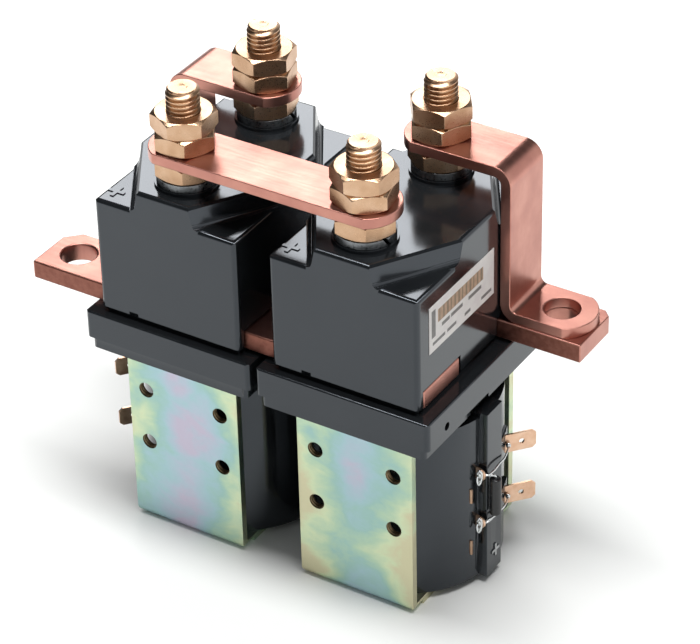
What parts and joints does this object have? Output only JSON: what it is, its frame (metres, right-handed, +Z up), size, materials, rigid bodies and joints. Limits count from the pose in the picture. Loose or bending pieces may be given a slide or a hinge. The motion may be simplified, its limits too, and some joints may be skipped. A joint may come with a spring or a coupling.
{
  "type": "solenoid switch",
  "caption": "Paired changeover DC contactor: solenoid coils in zinc-plated frames under black covers, with brass stud terminals joined by copper straps.",
  "frame": {"origin": "middle of the underside of the two frames, between the units", "axes": "+X along the pair towards the unit with the label, -Y towards the front plates with the mounting holes, +Z up along the terminal studs"},
  "size_m": [0.1632, 0.073, 0.1528],
  "materials": {
    "black_moulding": "satin",
    "zinc_steel": "passivated zinc",
    "plain_steel": "machined",
    "copper": "satin",
    "winding_copper": "enamelled wire",
    "brass": "machined",
    "blade_brass": "tinned",
    "grey_steel": "sprung, oiled",
    "screw_zinc": "plated",
    "silver_tip": "matt silver",
    "ferrite": "matt",
    "nylon": "natural",
    "bobbin_plastic": "matt",
    "suppressor_case": "gloss",
    "label_film": "printed film"
  },
  "bodies": {
    "housing": {"left_cover": "black_moulding", "right_cover": "black_moulding", "left_tray": "black_moulding", "right_tray": "black_moulding", "left_yoke": "zinc_steel", "right_yoke": "zinc_steel", "left_pole_plate": "zinc_steel", "right_pole_plate": "zinc_steel", "left_pole_core": "plain_steel", "right_pole_core": "plain_steel", "left_guide_tube": "brass", "right_guide_tube": "brass", "left_bobbin": "bobbin_plastic", "right_bobbin": "bobbin_plastic", "left_winding": "winding_copper", "right_winding": "winding_copper", "left_coil_jacket": "black_moulding", "right_coil_jacket": "black_moulding", "left_coil_terminals": "blade_brass", "right_coil_terminals": "blade_brass", "left_suppressor": "suppressor_case", "right_suppressor": "suppressor_case", "left_return_spring": "grey_steel", "right_return_spring": "grey_steel", "left_front_stud": "brass", "right_front_stud": "brass", "left_back_stud": "brass", "right_back_stud": "brass", "fixed_tips": "silver_tip", "blowout_magnets": "ferrite", "tray_screws": "screw_zinc", "bar_screws": "screw_zinc", "spring_washers": "grey_steel", "under_nuts": "brass", "clamp_nuts": "brass", "lock_nuts": "brass", "front_bar": "copper", "left_back_bar": "copper", "right_back_bar": "copper", "link_bar": "copper", "left_bracket": "copper", "right_bracket": "copper", "label": "label_film"},
    "left_armature": {"left_plunger": "plain_steel", "left_push_rod": "plain_steel", "left_carrier": "nylon", "left_bridge": "copper", "left_bridge_tips": "silver_tip", "left_contact_spring": "grey_steel", "left_top_washer": "nylon"},
    "right_armature": {"right_plunger": "plain_steel", "right_push_rod": "plain_steel", "right_carrier": "nylon", "right_bridge": "copper", "right_bridge_tips": "silver_tip", "right_contact_spring": "grey_steel", "right_top_washer": "nylon"}
  },
  "joints": [
    {"name": "left_plunger", "type": "slide", "parent": "housing", "child": "left_armature", "axis": [0, 0, 1], "range_m": [0, 0.003], "stiffness_N_per_m": 700, "springref_m": -0.012, "deforming": ["left_return_spring"]},
    {"name": "right_plunger", "type": "slide", "parent": "housing", "child": "right_armature", "axis": [0, 0, 1], "range_m": [0, 0.003], "stiffness_N_per_m": 700, "springref_m": -0.012, "deforming": ["right_return_spring"]}
  ]
}
